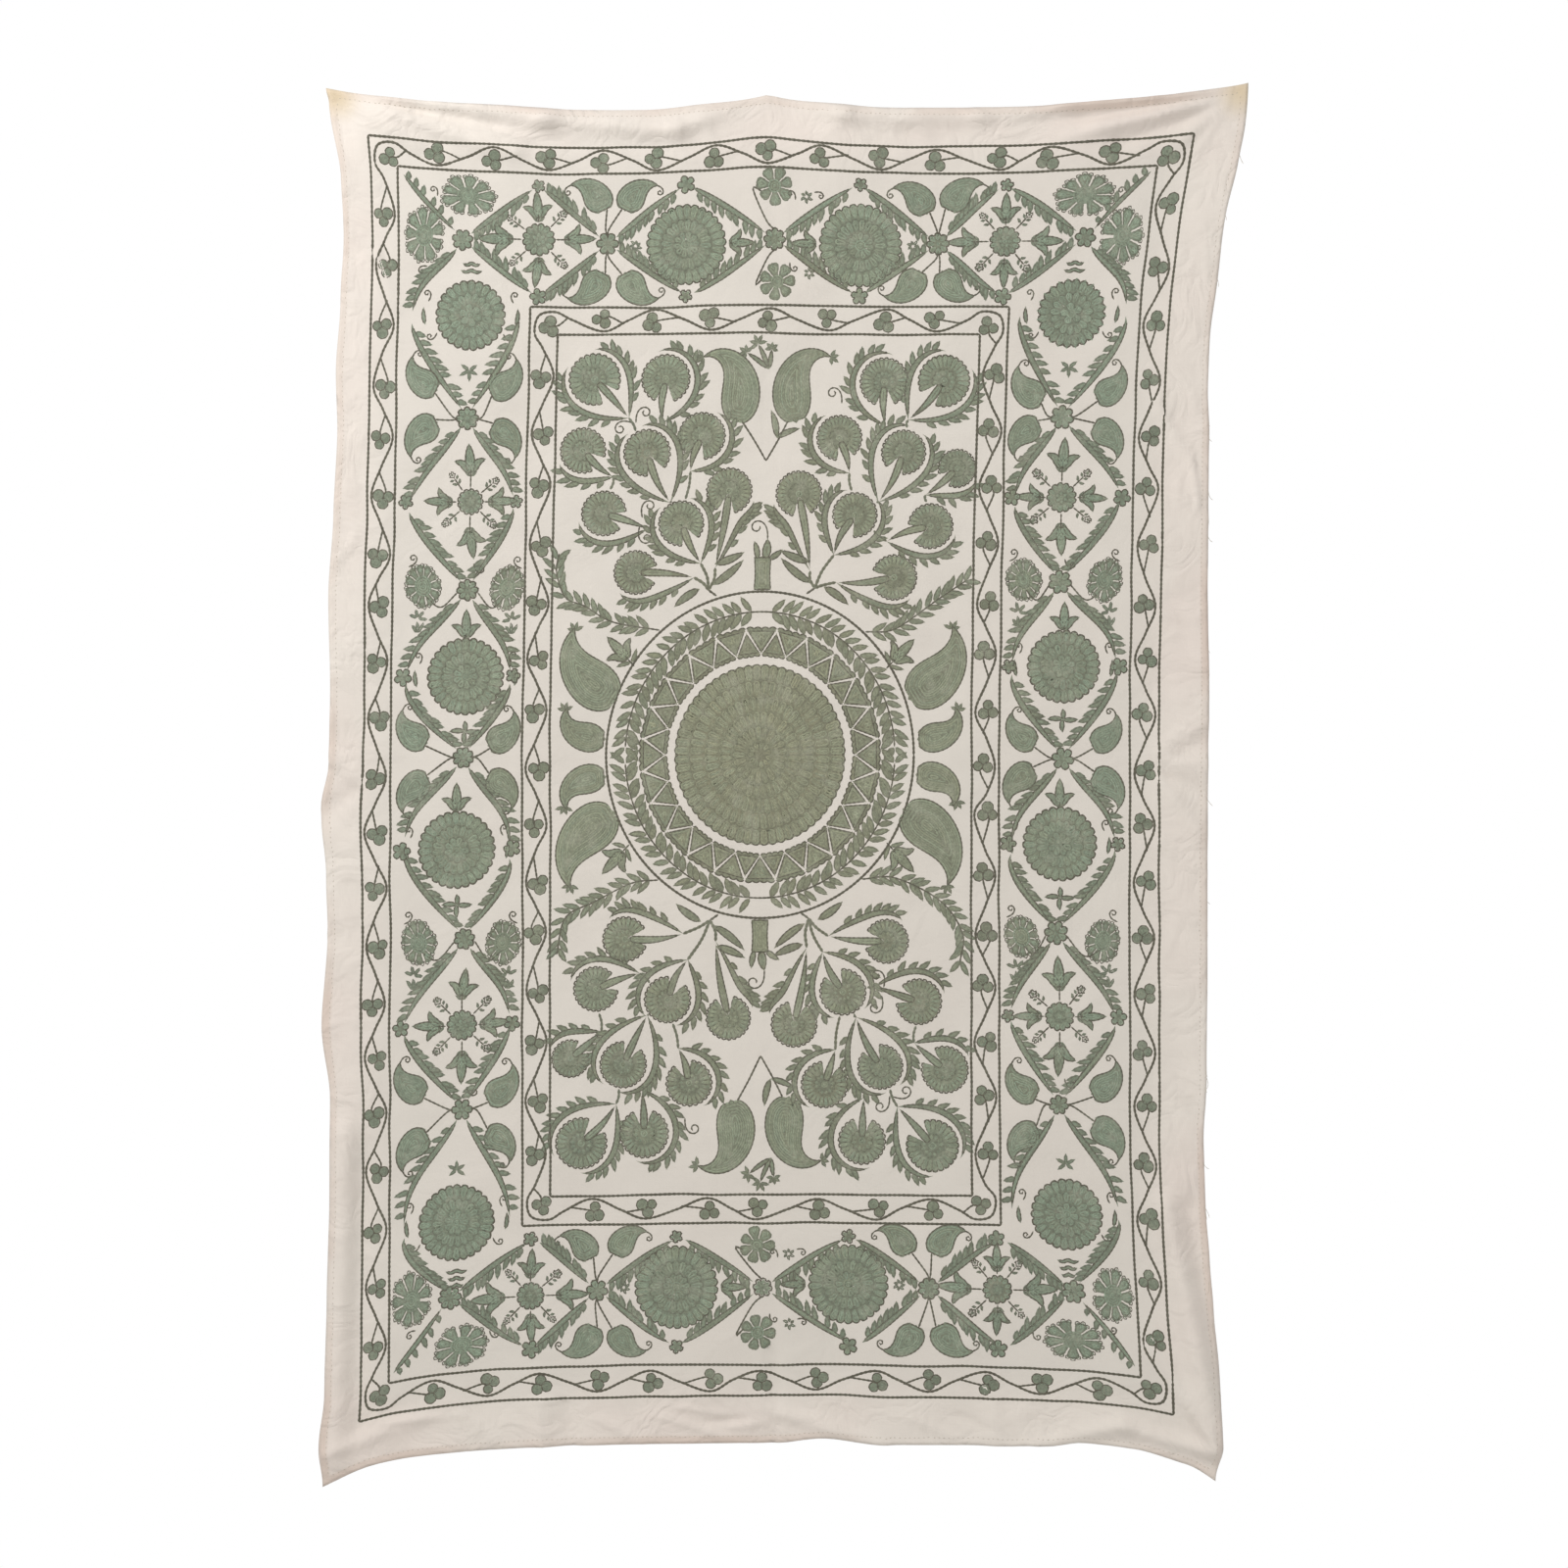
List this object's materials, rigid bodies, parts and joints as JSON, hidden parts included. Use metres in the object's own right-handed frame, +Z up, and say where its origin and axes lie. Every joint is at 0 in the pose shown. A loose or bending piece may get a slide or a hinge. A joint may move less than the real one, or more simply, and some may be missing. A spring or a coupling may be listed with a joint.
{
  "type": "suzani embroidered wall hanging",
  "caption": "Rectangular cotton suzani hung by its top corners and the middle of its top edge, with a turned hem, worked in sage green chain stitch.",
  "frame": {"origin": "the middle of the cloth's top edge, where the middle pin holds it against the wall", "axes": "+X to the right as the viewer sees the embroidered face, +Y into the wall behind the cloth, +Z up"},
  "size_m": [1.4697, 0.0341, 2.221],
  "materials": {
    "ground_cotton": "matt plain-woven unbleached cotton",
    "sage_thread": "dyed sage green embroidery thread with a slight sheen",
    "outline_thread": "dark olive brown embroidery thread"
  },
  "bodies": {
    "root": {"suzani_cloth": "ground_cotton"}
  },
  "joints": []
}
